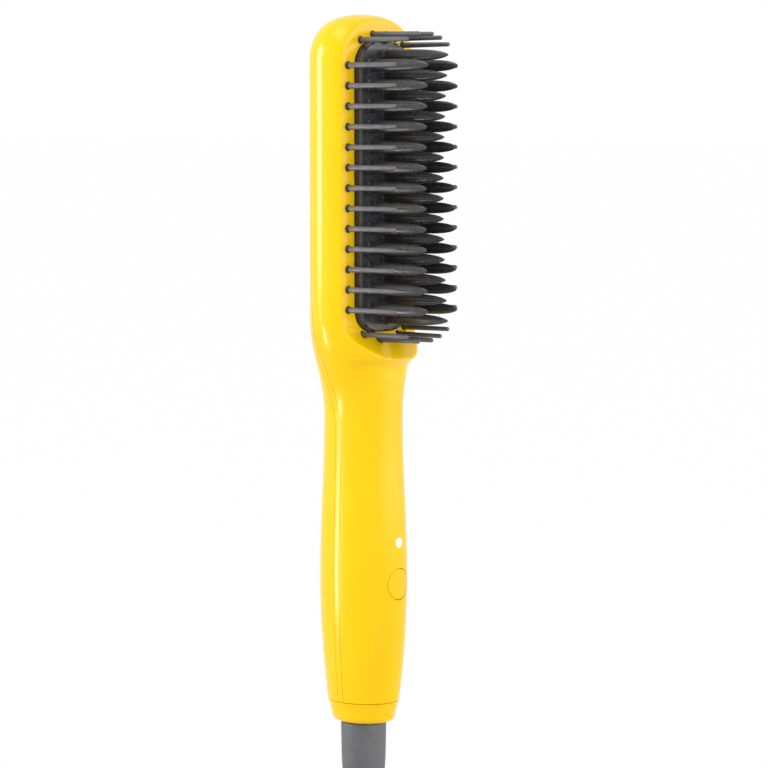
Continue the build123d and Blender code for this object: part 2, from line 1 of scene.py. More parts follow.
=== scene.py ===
import json
import math
import bpy
import bmesh
import numpy as np
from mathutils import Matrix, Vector


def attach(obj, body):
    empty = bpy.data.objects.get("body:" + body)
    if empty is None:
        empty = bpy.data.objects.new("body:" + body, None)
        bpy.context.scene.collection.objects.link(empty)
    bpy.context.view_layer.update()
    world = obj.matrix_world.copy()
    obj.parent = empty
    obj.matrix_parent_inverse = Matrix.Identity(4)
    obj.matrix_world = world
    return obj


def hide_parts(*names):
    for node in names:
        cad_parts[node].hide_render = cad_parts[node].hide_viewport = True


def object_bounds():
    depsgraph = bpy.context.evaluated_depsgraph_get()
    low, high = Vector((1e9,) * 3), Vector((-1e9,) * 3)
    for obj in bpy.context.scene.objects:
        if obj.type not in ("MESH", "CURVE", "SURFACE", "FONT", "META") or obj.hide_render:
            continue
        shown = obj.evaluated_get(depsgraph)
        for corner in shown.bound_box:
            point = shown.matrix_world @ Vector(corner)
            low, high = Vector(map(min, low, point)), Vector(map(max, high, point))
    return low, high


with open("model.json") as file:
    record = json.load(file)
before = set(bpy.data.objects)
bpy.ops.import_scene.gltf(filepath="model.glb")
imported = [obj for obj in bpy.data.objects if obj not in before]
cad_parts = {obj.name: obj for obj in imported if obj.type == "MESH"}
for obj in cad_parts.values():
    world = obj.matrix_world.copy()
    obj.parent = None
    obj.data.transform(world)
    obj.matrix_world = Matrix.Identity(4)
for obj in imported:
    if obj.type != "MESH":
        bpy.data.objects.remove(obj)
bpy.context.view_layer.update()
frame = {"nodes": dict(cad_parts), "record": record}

scene = bpy.context.scene
scene.view_settings.view_transform = "Standard"

# Heated straightening brush. Sizes are in millimetres; "front" is the distance from the
# handle's axis towards the blades, so a point's y is minus its front.

photoCamera = {
    "distance": 1137.0, "turn": 52.0, "height": 237.0,
    "aimHeight": 134.0, "aimAside": 8.1, "fieldOfView": 15.1,
}

turn = math.radians(photoCamera["turn"])
towards = Vector((-math.sin(turn), -math.cos(turn), 0))  # level direction from the object to the camera
aside = Vector((math.cos(turn), -math.sin(turn), 0))  # level direction to the camera's right
eye = towards * photoCamera["distance"]
eye.z = photoCamera["height"]
aim = aside * photoCamera["aimAside"] + Vector((0, 0, photoCamera["aimHeight"]))
cameraData = bpy.data.cameras.new("camera")
cameraData.lens = cameraData.sensor_width / 2 / math.tan(math.radians(photoCamera["fieldOfView"] / 2))
cameraObject = bpy.data.objects.new("camera", cameraData)
cameraObject.location = eye / 1000
cameraObject.rotation_euler = (aim - eye).to_track_quat("-Z", "Y").to_euler()
scene.collection.objects.link(cameraObject)
scene.camera = cameraObject
print("camera placed")


def linearColour(hexColour):
    # each sRGB channel is divided by 12.92 below 0.04045, else raised to 2.4 after an offset
    channels = [int(hexColour[i:i + 2], 16) / 255 for i in (0, 2, 4)]
    return [c / 12.92 if c <= 0.04045 else ((c + 0.055) / 1.055) ** 2.4 for c in channels] + [1.0]


def addNode(tree, kind, values={}, settings={}, links={}):
    # one node with its settings, the values of its sockets and the links into them
    node = tree.nodes.new(kind)
    for name, value in settings.items():
        setattr(node, name, value)
    for name, value in values.items():
        node.inputs[name].default_value = value
    for name, source in links.items():
        tree.links.new(source, node.inputs[name])
    return node


noise = {
    "mottleDetail": 3.0, "grainDetail": 2.0,
    "toneEdges": (0.35, 0.65),  # the stretch of the noise over which one tone turns into the other
    "roughEdges": (0.3, 0.7),  # the stretch over which the roughness goes from low to high
}


def surfaceMaterial(look):
    # Principled surface: two tones mixed by a mottle, roughness spread by the same mottle, and a bumped grain;
    # a pattern's scale is 1000 divided by its size in millimetres
    material = bpy.data.materials.new(look["name"])
    material.use_nodes = True
    tree = material.node_tree
    shader = tree.nodes["Principled BSDF"]
    place = addNode(tree, "ShaderNodeTexCoord").outputs["Object"]
    if "stretch" in look:
        mapping = addNode(tree, "ShaderNodeMapping", {"Scale": look["stretch"]}, links={"Vector": place})
        place = mapping.outputs["Vector"]
    mottle, grain = [
        addNode(tree, "ShaderNodeTexNoise", {"Scale": 1000 / look[size], "Detail": noise[detail]},
                links={"Vector": place})
        for size, detail in (("mottleSize", "mottleDetail"), ("grainSize", "grainDetail"))
    ]
    tones = addNode(tree, "ShaderNodeValToRGB", links={"Fac": mottle.outputs["Fac"]})
    for stop, position, tone in zip(tones.color_ramp.elements, noise["toneEdges"], look["tones"]):
        stop.position, stop.color = position, linearColour(tone)
    (fromLow, fromHigh), (toLow, toHigh) = noise["roughEdges"], look["roughness"]
    spread = addNode(
        tree, "ShaderNodeMapRange", {"From Min": fromLow, "From Max": fromHigh, "To Min": toLow, "To Max": toHigh},
        links={"Value": mottle.outputs["Fac"]})
    bump = addNode(tree, "ShaderNodeBump", {"Strength": 1.0, "Distance": look["grainDepth"] / 1000},
                   links={"Height": grain.outputs["Fac"]})
    tree.links.new(tones.outputs["Color"], shader.inputs["Base Color"])
    tree.links.new(spread.outputs["Result"], shader.inputs["Roughness"])
    tree.links.new(bump.outputs["Normal"], shader.inputs["Normal"])
    for socket, value in look.get("sockets", {}).items():
        shader.inputs[socket].default_value = value
    return material


# by the record's slots; mottleSize, grainSize and grainDepth are in millimetres, and a stretch
# below 1 draws the pattern out along that axis
finishes = {
    # glossy moulded ABS: a saturated yellow with a faint orange peel from the mould, 2.2 mm from hill to hill
    "housing_plastic": {
        "name": "mouldedGlossAbs", "tones": ("FFCC00", "FFCF00"), "mottleSize": 40, "roughness": (0.2, 0.26),
        "grainSize": 2.2, "grainDepth": 0.006,
        "sockets": {"IOR": 1.5, "Specular IOR Level": 0.2, "Coat Weight": 0.06, "Coat Roughness": 0.1},
    },
    # die-cast aluminium under a baked ceramic coat: soft black sheen; the coat's grain of about
    # 0.1 mm is drawn 0.6 mm wide and almost flat, so that it doesn't sparkle
    "coated_casting": {
        "name": "ceramicCoatedCasting", "tones": ("2C2C2E", "303032"), "mottleSize": 3, "roughness": (0.24, 0.32),
        "grainSize": 0.6, "grainDepth": 0.0015, "sockets": {"IOR": 1.6},
    },
    # moulded glass-filled nylon: dark grey and satin, with a grain drawn coarser than its real 0.1 mm so it shows
    "pin_plastic": {
        "name": "mouldedGlassNylon", "tones": ("55555A", "606064"), "mottleSize": 4, "roughness": (0.26, 0.36),
        "grainSize": 0.4, "grainDepth": 0.004, "sockets": {"IOR": 1.53},
    },
    # pressed silicone rubber: near black and dull, with a soft pebbled skin of 0.6 mm
    "silicone": {
        "name": "pressedSilicone", "tones": ("1E1E1E", "262626"), "mottleSize": 5, "roughness": (0.6, 0.7),
        "grainSize": 0.6, "grainDepth": 0.02, "sockets": {"IOR": 1.41},
    },
    # zinc-plated steel: cool bright grey, cloudy in patches of 1.2 mm where the plating took unevenly
    "screw_steel": {
        "name": "zincPlatedSteel", "tones": ("B4B6BA", "C4C6CA"), "mottleSize": 1.2, "roughness": (0.25, 0.35),
        "grainSize": 0.3, "grainDepth": 0.004, "sockets": {"Metallic": 1.0},
    },
    # fired ceramic: chalky off-white without any shine, with a grit of 0.3 mm
    "ceramic": {
        "name": "firedCeramic", "tones": ("BDB8AB", "CBC6BA"), "mottleSize": 1.5, "roughness": (0.7, 0.85),
        "grainSize": 0.3, "grainDepth": 0.02, "sockets": {"IOR": 1.6},
    },
    # rolled aluminium sheet: pale metal with streaks that run the way it was rolled
    "electrode_aluminium": {
        "name": "rolledAluminium", "tones": ("C2C4C8", "CFD1D4"), "mottleSize": 2, "roughness": (0.28, 0.4),
        "stretch": (1, 1, 0.06), "grainSize": 0.4, "grainDepth": 0.004, "sockets": {"Metallic": 1.0},
    },
    # wrapped polyimide film: warm amber and glassy, with gentle ripples 3 mm apart
    "polyimide_film": {
        "name": "amberPolyimideFilm", "tones": ("B8741C", "C98426"), "mottleSize": 6, "roughness": (0.16, 0.24),
        "grainSize": 3, "grainDepth": 0.02, "sockets": {"IOR": 1.7},
    },
    # drawn aluminium case: bright metal with fine draw lines along it
    "fuse_casing": {
        "name": "drawnFuseCasing", "tones": ("B0B2B6", "BEC0C4"), "mottleSize": 2, "roughness": (0.22, 0.3),
        "stretch": (1, 1, 0.1), "grainSize": 0.3, "grainDepth": 0.003, "sockets": {"Metallic": 1.0},
    },
    # cast epoxy: a dark brown drop, shiny and a little uneven
    "sensor_epoxy": {
        "name": "castSensorEpoxy", "tones": ("2A211B", "33281F"), "mottleSize": 2, "roughness": (0.3, 0.4),
        "grainSize": 0.8, "grainDepth": 0.02, "sockets": {"IOR": 1.55},
    },
    # pressed mica: sandy flakes of 1 to 2.5 mm, some duller and some with a pearly shine
    "mica": {
        "name": "pressedMica", "tones": ("BBAF8E", "CFC4A4"), "mottleSize": 2.5, "roughness": (0.35, 0.55),
        "grainSize": 1.0, "grainDepth": 0.02, "sockets": {"IOR": 1.58},
    },
    # extruded silicone sleeve: soft off-white, nearly even, with a dull sheen
    "wire_silicone": {
        "name": "extrudedWireSilicone", "tones": ("D6D6D2", "E0E0DC"), "mottleSize": 4, "roughness": (0.45, 0.55),
        "grainSize": 0.5, "grainDepth": 0.006, "sockets": {"IOR": 1.41},
    },
    # solder mask on a glass-fibre board: deep glossy green, gently uneven every 1.2 mm over the weave
    "circuit_board": {
        "name": "solderMaskBoard", "tones": ("0F4A29", "156036"), "mottleSize": 2.6, "roughness": (0.28, 0.36),
        "grainSize": 1.2, "grainDepth": 0.03, "sockets": {"IOR": 1.5},
    },
    # moulded black plastic: satin, with the fine 0.25 mm spark texture of its mould
    "black_plastic": {
        "name": "mouldedBlackPlastic", "tones": ("151515", "1D1D1D"), "mottleSize": 2, "roughness": (0.4, 0.5),
        "grainSize": 0.25, "grainDepth": 0.01, "sockets": {"IOR": 1.5},
    },
    # moulded capacitor box: mustard yellow, smooth and half glossy
    "capacitor_case": {
        "name": "boxedFilmCapacitor", "tones": ("C4A21C", "CFAE28"), "mottleSize": 6, "roughness": (0.3, 0.38),
        "grainSize": 0.8, "grainDepth": 0.01, "sockets": {"IOR": 1.5},
    },
    # cast lamp resin: near white and glassy, with a little glow of its own
    "led_resin": {
        "name": "castLampResin", "tones": ("EDEDE6", "F6F6F0"), "mottleSize": 3, "roughness": (0.15, 0.2),
        "grainSize": 1, "grainDepth": 0.002,
        "sockets": {"IOR": 1.53, "Emission Strength": 0.6, "Emission Color": (1, 1, 1, 1)},
    },
    # moulded milky acrylic lit from behind: an even white with a soft glow
    "light_guide_plastic": {
        "name": "milkyAcrylic", "tones": ("F6F6F4", "FFFFFF"), "mottleSize": 3, "roughness": (0.22, 0.3),
        "grainSize": 0.5, "grainDepth": 0.004,
        "sockets": {"IOR": 1.49, "Emission Strength": 0.5, "Emission Color": (1, 1, 1, 1)},
    },
    # moulded natural nylon: milky and satin, a little cloudy over 5 mm
    "nylon": {
        "name": "mouldedNaturalNylon", "tones": ("D6D3C6", "E0DDD2"), "mottleSize": 5, "roughness": (0.4, 0.5),
        "grainSize": 0.4, "grainDepth": 0.008, "sockets": {"IOR": 1.53},
    },
    # drawn brass: warm gold with fine draw lines that lie across the handle
    "ring_brass": {
        "name": "drawnBrass", "tones": ("C79E4E", "D4AC5C"), "mottleSize": 1.5, "roughness": (0.22, 0.34),
        "stretch": (0.1, 0.1, 1), "grainSize": 0.2, "grainDepth": 0.003, "sockets": {"Metallic": 1.0},
    },
    # moulded thermoplastic rubber: cool mid grey with a satin skin
    "boot_rubber": {
        "name": "mouldedSatinRubber", "tones": ("616164", "69696C"), "mottleSize": 8, "roughness": (0.5, 0.6),
        "grainSize": 0.5, "grainDepth": 0.01, "sockets": {"IOR": 1.5, "Specular IOR Level": 0.3},
    },
}
materials = {slot: surfaceMaterial(look) for slot, look in finishes.items()}
for part in frame["record"]["subparts"]:
    mesh = frame["nodes"][part["node"]].data
    mesh.materials.clear()
    mesh.materials.append(materials[part["material_slot"]])
print("materials made:", len(materials))


def skin(rings, startPoint=None, endPoint=None, loop=False):
    # joins each ring of points to the next by quads, and closes either end by a fan
    # or, as a loop, joins the last ring to the first
    count, around = rings.shape[:2]
    index = np.arange(count * around).reshape(count, around)
    first, last = index[0], index[-1]
    if loop:
        index = np.vstack([index, index[:1]])
    ahead = np.roll(index, -1, axis=1)
    faces = np.stack([index[:-1], ahead[:-1], ahead[1:], index[1:]], -1).reshape(-1, 4).tolist()
    points = rings.reshape(-1, 3)
    for ring, tip in ((first[::-1], startPoint), (last, endPoint)):
        if tip is not None:
            middle = np.full(around, len(points))
            faces += np.stack([ring, np.roll(ring, -1), middle], -1).tolist()
            points = np.vstack([points, [tip]])
    return points, faces


def prism(outline, axis, low, high):
    # carries a flat outline straight along one axis, with a face at either end
    around = len(outline)
    points = np.zeros((2, around, 3))
    points[:, :, [i for i in range(3) if i != axis]] = outline
    points[0, :, axis], points[1, :, axis] = low, high
    index = np.arange(2 * around).reshape(2, around)
    ahead = np.roll(index, -1, axis=1)
    sides = np.stack([index[0], ahead[0], ahead[1], index[1]], -1).tolist()
    return points.reshape(-1, 3), sides + [index[0, ::-1].tolist(), index[1].tolist()]


def joined(shapes):
    # puts several shapes into one, each shape's faces counted on from the points before it
    points, faces, start = [], [], 0
    for shapePoints, shapeFaces in shapes:
        points.append(shapePoints)
        faces += [[start + corner for corner in face] for face in shapeFaces]
        start += len(shapePoints)
    return np.vstack(points), faces


def meshObject(name, shape, outward=False):
    # a shape's points, from millimetres to metres, and its faces, turned outward if asked
    mesh = bpy.data.meshes.new(name)
    mesh.from_pydata((shape[0] / 1000).tolist(), [], shape[1])
    if outward:
        shell = bmesh.new()
        shell.from_mesh(mesh)
        bmesh.ops.recalc_face_normals(shell, faces=shell.faces)
        shell.to_mesh(mesh)
        shell.free()
    piece = bpy.data.objects.new(name, mesh)
    scene.collection.objects.link(piece)
    return piece


def carve(piece, tool, operation):
    # the piece's mesh becomes what it keeps, outside the tool by DIFFERENCE or inside it by INTERSECT
    cut = piece.modifiers.new("cut", "BOOLEAN")
    cut.object, cut.operation, cut.solver = tool, operation, "EXACT"
    bpy.context.view_layer.update()
    result = bpy.data.meshes.new_from_object(piece.evaluated_get(bpy.context.evaluated_depsgraph_get()))
    piece.modifiers.clear()
    before = piece.data
    piece.data = result
    bpy.data.meshes.remove(before)


def finished(piece, slot, body, nodes=(), crease=32):
    # smooth shading with sharp edges above the crease angle, then its finish, its body and the nodes it replaces
    piece.data.materials.clear()
    piece.data.materials.append(materials[slot])
    piece.data.polygons.foreach_set("use_smooth", np.ones(len(piece.data.polygons), bool))
    piece.data.set_sharp_from_angle(angle=math.radians(crease))
    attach(piece, body)
    if nodes:
        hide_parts(*nodes)
    piece.data.update()
    print(piece.name, "faces", len(piece.data.polygons))


housing = {
    "wall": 2.0, "capHeight": 8.8,
    # half width and half depth of the handle's ellipse, from its foot up to the head
    "foot": (11.7, 13.3), "grip": (15.8, 18.1), "neck": (14.2, 16.2), "head": (24.5, 18.3),
    "gripHeight": 58.0, "neckHeight": 122.0, "headHeight": 160.0, "gripPower": 0.8,
    # the finger guard's front, and the shares of the way from neck to head where it starts and ends
    "chinFront": 21.0, "chinShare": 0.5, "chinTop": 0.64,
    "crownHeight": 259.0, "crownRise": 19.4, "crownFront": 14.0, "crownPower": 2.5,
    # the head's face, and the ramp at its foot
    "face": 8.1, "rampTop": 155.0, "rampAngle": 41.25, "rampBlend": 4.65,
    # how softly the side turns into the face: at the finger guard, on the head, and where one becomes the other
    "chinEdgeBlend": 0.07, "edgeBlend": 0.19, "blendFrom": 148.0, "blendOver": 20.0,
    # where each run of rings ends, and its count: finer at the button, the light and the ramp
    "heightRuns": ((49.0, 26), (64.0, 26), (69.6, 5), (75.6, 12), (136.0, 34), (164.0, 66), (259.0, 52)),
    # the same for the degrees round a ring: finer at the edge of the face
    "angleRuns": ((55.0, 26), (77.0, 38), (180.0, 58)),
    "crownRings": 42, "innerStep": 4,  # the inside takes every fourth ring
}


def smooth(share):
    # half a cosine wave from 0 to 1
    return (1 - np.cos(np.pi * np.clip(share, 0, 1))) / 2


def sectionSizes(z, inset=0.0):
    # half width, front depth and back depth of the housing's ellipse at a height: a sine swells the foot to the grip,
    # half waves lead to the neck and the head, and above them the crown shrinks by the root of (1 - rise^n)
    h = housing
    swell = np.sin(np.pi / 2 * np.clip(z / h["gripHeight"], 0, 1)) ** h["gripPower"]
    waist = smooth((z - h["gripHeight"]) / (h["neckHeight"] - h["gripHeight"]))
    share = (z - h["neckHeight"]) / (h["headHeight"] - h["neckHeight"])
    shoulder, chin = smooth(share), smooth((share - h["chinShare"]) / (h["chinTop"] - h["chinShare"]))
    width, depth = [foot + (grip - foot) * swell + (neck - grip) * waist
                    for foot, grip, neck in zip(h["foot"], h["grip"], h["neck"])]
    rise = np.clip((z - h["crownHeight"]) / (h["crownRise"] - inset), 0, 1)
    size = (1 - rise ** h["crownPower"]) ** (1 / h["crownPower"])
    width = width + (h["head"][0] - h["neck"][0]) * shoulder
    back = depth + (h["head"][1] - h["neck"][1]) * shoulder
    front = depth + (h["chinFront"] - h["neck"][1]) * chin + (h["crownFront"] - h["chinFront"]) * rise
    return (width - inset) * size, (front - inset) * size, (back - inset) * size


def faceFront(z, inset=0.0):
    # level of the head's face, which runs out along the ramp; the larger of the two, rounded where they cross
    h = housing
    slope = math.tan(math.radians(h["rampAngle"]))
    foot = h["rampTop"] + inset * (slope - 1 / math.cos(math.radians(h["rampAngle"])))
    flat, ramp = h["face"] - inset, h["face"] - inset + (foot - z) / slope
    near = np.clip(h["rampBlend"] - np.abs(flat - ramp), 0, None) / h["rampBlend"]
    return np.maximum(flat, ramp) + near ** 2 * h["rampBlend"] / 4


def housingPoints(z, angle, inset=0.0):
    # a point goes round the ellipse by its angle and is drawn towards the axis as far as the face;
    # the smaller of the two reaches is taken, rounded where they cross
    h = housing
    nearAxis, noLimit = 0.01, 9.0  # beside or behind the axis there is no face to stop at
    width, front, back = sectionSizes(z, inset)
    x = width * np.sin(angle)
    reach = np.where(np.cos(angle) > 0, front, back) * np.cos(angle)
    limit = np.where(reach > nearAxis, faceFront(z, inset) / np.maximum(reach, nearAxis), noLimit)
    onHead = smooth((z - h["blendFrom"]) / h["blendOver"])
    blend = h["chinEdgeBlend"] + (h["edgeBlend"] - h["chinEdgeBlend"]) * onHead
    near = np.clip(blend - np.abs(1 - limit), 0, None) / blend
    scale = np.minimum(1, limit) - near ** 2 * blend / 4
    return np.stack([x * scale, -reach * scale, z + 0 * x], -1)


def evenRuns(start, runs):
    # even steps up to the end of each run, which leaves its last value to the run after it
    starts = [start] + [end for end, count in runs]
    return np.concatenate([np.linspace(low, high, count)[:-1] for low, (high, count) in zip(starts, runs)])


def housingShell():
    # an inner skin from the crown down to the foot and an outer one back up, joined at the foot
    h = housing
    half = np.radians(evenRuns(0, h["angleRuns"]))
    angles = np.concatenate([half, [np.pi], 2 * np.pi - half[:0:-1]])
    heights = evenRuns(h["capHeight"], h["heightRuns"])
    crown = np.sin(np.linspace(0, np.pi / 2, h["crownRings"])[:-1])
    step = h["innerStep"]
    outerHeights = np.concatenate([heights, h["crownHeight"] + h["crownRise"] * crown])
    innerHeights = np.concatenate([heights[::step], h["crownHeight"] + (h["crownRise"] - h["wall"]) * crown[::step]])
    outer = housingPoints(outerHeights[:, None], angles[None])
    inner = housingPoints(innerHeights[::-1, None], angles[None], h["wall"])
    top = h["crownHeight"] + h["crownRise"]
    return skin(np.concatenate([inner, outer]), (0, 0, top - h["wall"]), (0, 0, top))


seam = {
    "gap": 0.2, "low": 118.0, "high": 168.0, "back": 9.0, "bendRadius": 30.0, "bendSteps": 12,
    "lineBehind": 2.8, "lineWidth": 0.2, "lineDepth": 0.3,  # the fine line that follows the seam on the rear housing
    "coreAround": 181, "coreRings": 131, "coreCrownRings": 22,
    "toolLow": -30.0, "toolHigh": 330.0, "toolBack": 80.0, "toolSide": 60.0,  # well past the housing
}


def housingSkin(inset):
    # the housing's form drawn in by the inset, closed below by a flat fan and above by the crown
    bottom, rise = housing["crownHeight"], housing["crownRise"] - inset
    angles = np.linspace(0, 2 * np.pi, seam["coreAround"])[:-1]
    crown = bottom + rise * np.sin(np.linspace(0, np.pi / 2, seam["coreCrownRings"])[:-1])
    heights = np.concatenate([np.linspace(0, bottom, seam["coreRings"])[:-1], crown])
    top = housing["crownHeight"] + housing["crownRise"] - inset
    return skin(housingPoints(heights[:, None], angles[None], inset), (0, 0, 0), (0, 0, top))


def seamLine(shift):
    # side view of the parting line: straight, then sloping back, then straight; each of its two bends
    # is a curve between the points where an arc of the bend's radius would touch both runs
    high = shift + seam["back"]
    corners = np.array([(shift, seam["toolLow"]), (shift, seam["low"]), (high, seam["high"]), (high, seam["toolHigh"])])
    line = [corners[:1]]
    for before, corner, after in zip(corners, corners[1:], corners[2:]):
        inward, outward = [side / np.linalg.norm(side) for side in (before - corner, after - corner)]
        bend = np.pi - math.acos(inward @ outward)
        setback = seam["bendRadius"] * math.tan(bend / 2)
        share = np.linspace(0, 1, seam["bendSteps"])[:, None]
        line.append(corner + setback * (inward * (1 - share) ** 2 + outward * share ** 2))
    line.append(corners[-1:])
    return np.vstack(line)


def acrossHousing(outline):
    # a side view's outline carried from one side of the housing to the other, as a cutting tool
    return meshObject("tool", prism(np.vstack(outline), 0, -seam["toolSide"], seam["toolSide"]), outward=True)


shellShape = housingShell()
rearHousing = meshObject("rearHousingShell", shellShape)
frontHousing = meshObject("frontHousingShell", shellShape)
behind = [(seam["toolBack"], seam["toolHigh"]), (seam["toolBack"], seam["toolLow"])]
for piece, side, operation in ((rearHousing, 1, "INTERSECT"), (frontHousing, -1, "DIFFERENCE")):
    tool = acrossHousing([seamLine(side * seam["gap"] / 2), behind])
    carve(piece, tool, operation)
    bpy.data.objects.remove(tool)

# the fine line is what a thin band leaves outside the housing's drawn-in form
band = [seamLine(seam["lineBehind"] + side * seam["lineWidth"] / 2) for side in (-1, 1)]
tool = acrossHousing([band[0], band[1][::-1]])
core = meshObject("core", housingSkin(seam["lineDepth"]), outward=True)
carve(tool, core, "DIFFERENCE")
carve(rearHousing, tool, "DIFFERENCE")
for helper in (tool, core):
    bpy.data.objects.remove(helper)
print("housing split at its seam")


comb = {
    "plateHalfWidth": 15.6, "plateHalfLength": 56.0, "plateCentre": 211.5,
    "plateCorner": 9.5, "plateGap": 0.4, "plateTop": 11.1, "outlineSides": 96,
    "columnSpacing": 9.5, "bladePitch": 7.83, "sideBlades": 13, "middleBlades": 14,
    "bladeHalfHeight": 2.4, "bladeHalfThickness": 1.5, "bladeAround": 18,
    "sideLength": 26.8, "middleLength": 28.0,
    "sideFlare": 1.2, "middleFlare": 2.7,  # how much longer a column's end blades are
    "baseFlare": 0.22, "baseFlareReach": 0.6,  # how much wider a blade is at its foot, and how far up
    "sideTip": (5, 0.55), "middleTip": (4, 0.62),  # the power n and the root of a blade's taper
    # shares of a blade's length at which it has a ring: closer at its foot and its tip
    "bladeRings": (0, 0.012, 0.03, 0.06, 0.15, 0.3, 0.45, 0.58, 0.68, 0.76, 0.83, 0.89, 0.935, 0.97, 0.988, 0.997),
}
pins = {
    "column": 19.7, "rootRadius": 1.2, "tipRadius": 0.85, "length": 23.0, "root": 3.2, "faceTaper": 0.05,
    "tipRings": 6, "around": 16, "holeRadius": 1.6,
    # the collar is a black sleeve round each pin's root, painted shade that darkens the pin's hole
    "shadeCollarRadius": 1.45, "shadeCollarFoot": 5.0, "shadeCollarRise": 0.55, "shadeCollarBite": 0.12, "shadeCollarRound": 0.15,
    "arcRise": 12.4, "arcPlaces": (-12.0, -4.4, 4.2, 9.7, 14.6),
}
controls = {
    "buttonHeight": 56.1, "buttonRadius": 6.1, "buttonGap": 0.25,
    "lightHeight": 72.5, "lightRadius": 1.95, "lightGap": 0.05,
}
openings = {  # y of the cutting tools' two ends, and the sides of the round ones
    "outside": -60.0, "behindFace": -2.0, "behindControls": -3.0,
    "pinSides": 20, "buttonSides": 72, "lightSides": 40,
}

firstBlade = comb["plateCentre"] - (comb["sideBlades"] - 1) * comb["bladePitch"] / 2
lastBlade = 2 * comb["plateCentre"] - firstBlade
sideHeights = firstBlade + np.arange(comb["sideBlades"]) * comb["bladePitch"]
middleHeights = firstBlade + (np.arange(comb["middleBlades"]) - 0.5) * comb["bladePitch"]


def circle(x, z, radius, sides):
    # centre plus radius times the cosine across and the sine up
    angle = np.arange(sides) * 2 * np.pi / sides
    return np.stack([x + radius * np.cos(angle), z + radius * np.sin(angle)], -1)


def plateOutline(growth):
    # a circle's four quarters carried apart to the plate's corners
    angle = (np.arange(comb["outlineSides"]) + 0.5) * 2 * np.pi / comb["outlineSides"]
    radius = comb["plateCorner"] + growth
    x = np.sign(np.cos(angle)) * (comb["plateHalfWidth"] + growth - radius) + radius * np.cos(angle)
    z = np.sign(np.sin(angle)) * (comb["plateHalfLength"] + growth - radius) + radius * np.sin(angle)
    return np.stack([x, comb["plateCentre"] + z], -1)


def pinPlaces():
    # two columns level with the side blades, and half an ellipse above and below the plate
    columns = [np.stack([np.full(len(sideHeights), side * pins["column"]), sideHeights], -1) for side in (-1, 1)]
    across = np.array(pins["arcPlaces"])
    lift = pins["arcRise"] * np.sqrt(1 - (across / pins["column"]) ** 2)
    return np.vstack(columns + [np.stack([across, lastBlade + lift], -1), np.stack([across, firstBlade - lift], -1)])


holes = [prism(plateOutline(comb["plateGap"]), 1, openings["outside"], openings["behindFace"])]
holes += [prism(circle(x, z, pins["holeRadius"], openings["pinSides"]), 1, openings["outside"], openings["behindFace"])
          for x, z in pinPlaces()]
for control in ("button", "light"):
    radius = controls[control + "Radius"] + controls[control + "Gap"]
    outline = circle(0, controls[control + "Height"], radius, openings[control + "Sides"])
    holes.append(prism(outline, 1, openings["outside"], openings["behindControls"]))
tool = meshObject("tool", joined(holes), outward=True)
carve(frontHousing, tool, "DIFFERENCE")
bpy.data.objects.remove(tool)
finished(rearHousing, "housing_plastic", "brush", ["rear_housing"])
finished(frontHousing, "housing_plastic", "brush", ["front_housing"])
print("openings cut in the front housing")


cap = {
    "top": 8.55, "edgeRadius": 3.2, "lip": 0.25, "boreRadius": 5.1,
    "socketRadius": 8.65, "socketFloor": 3.0, "spigotInset": 1.6, "spigotTop": 12.3,
    "edgeRings": 10, "sideRings": 6, "around": 160,
}


def capSections():
    # height, half width and half depth, going up the outside from the bore's foot and back down the inside:
    # the lower edge is a quarter circle, and the side eases from the straight foot to the swelling handle
    footWidth, footDepth = housing["foot"]
    edge = np.linspace(0, np.pi / 2, cap["edgeRings"])
    drawnIn = cap["edgeRadius"] * (1 - np.sin(edge))
    low = np.stack([cap["edgeRadius"] * (1 - np.cos(edge)), footWidth - drawnIn, footDepth - drawnIn], -1)
    heights = np.linspace(cap["edgeRadius"], cap["top"] - cap["lip"], cap["sideRings"])[1:]
    width, depth, _ = sectionSizes(heights)
    share = (heights - cap["edgeRadius"]) / (cap["top"] - cap["edgeRadius"])
    side = np.stack([heights, footWidth + (width - footWidth) * share, footDepth + (depth - footDepth) * share], -1)
    topWidth, topDepth = side[-1, 1:]
    spigot = [size - cap["spigotInset"] for size in housing["foot"]]
    bore, socket = [cap["boreRadius"]] * 2, [cap["socketRadius"]] * 2
    inside = [
        (cap["top"], topWidth - cap["lip"], topDepth - cap["lip"]), (cap["top"], *spigot),
        (cap["spigotTop"], *spigot), (cap["spigotTop"], *socket),
        (cap["socketFloor"], *socket), (cap["socketFloor"], *bore), (0.0, *bore),
    ]
    return np.vstack([low, side, inside])


height, width, depth = capSections().T[:, :, None]
angle = np.arange(cap["around"]) * 2 * np.pi / cap["around"]
capRings = np.stack([width * np.sin(angle), -depth * np.cos(angle), height + 0 * angle], -1)
finished(meshObject("endCapRing", skin(capRings, loop=True)), "housing_plastic", "brush", ["end_cap"])


def frontRings(x, height, reach, halfWidth, halfHeight, around):
    # ellipses about a line that points to the front: each has its reach, the sine across and the cosine up
    angle = np.arange(around)[None] * 2 * np.pi / around
    return np.stack([x + halfWidth * np.sin(angle), -reach + 0 * angle, height + halfHeight * np.cos(angle)], -1)


def bladePlaces():
    # x, height and length; each column's blades grow by a square law towards its two ends
    rows = []
    for x, heights, length, flare in (
        (-comb["columnSpacing"], sideHeights, comb["sideLength"], comb["sideFlare"]),
        (0.0, middleHeights, comb["middleLength"], comb["middleFlare"]),
        (comb["columnSpacing"], sideHeights, comb["sideLength"], comb["sideFlare"]),
    ):
        reach = length + flare * ((heights - comb["plateCentre"]) / comb["plateHalfLength"]) ** 2
        rows.append(np.stack([np.full(len(heights), x), heights, reach], -1))
    return np.vstack(rows)


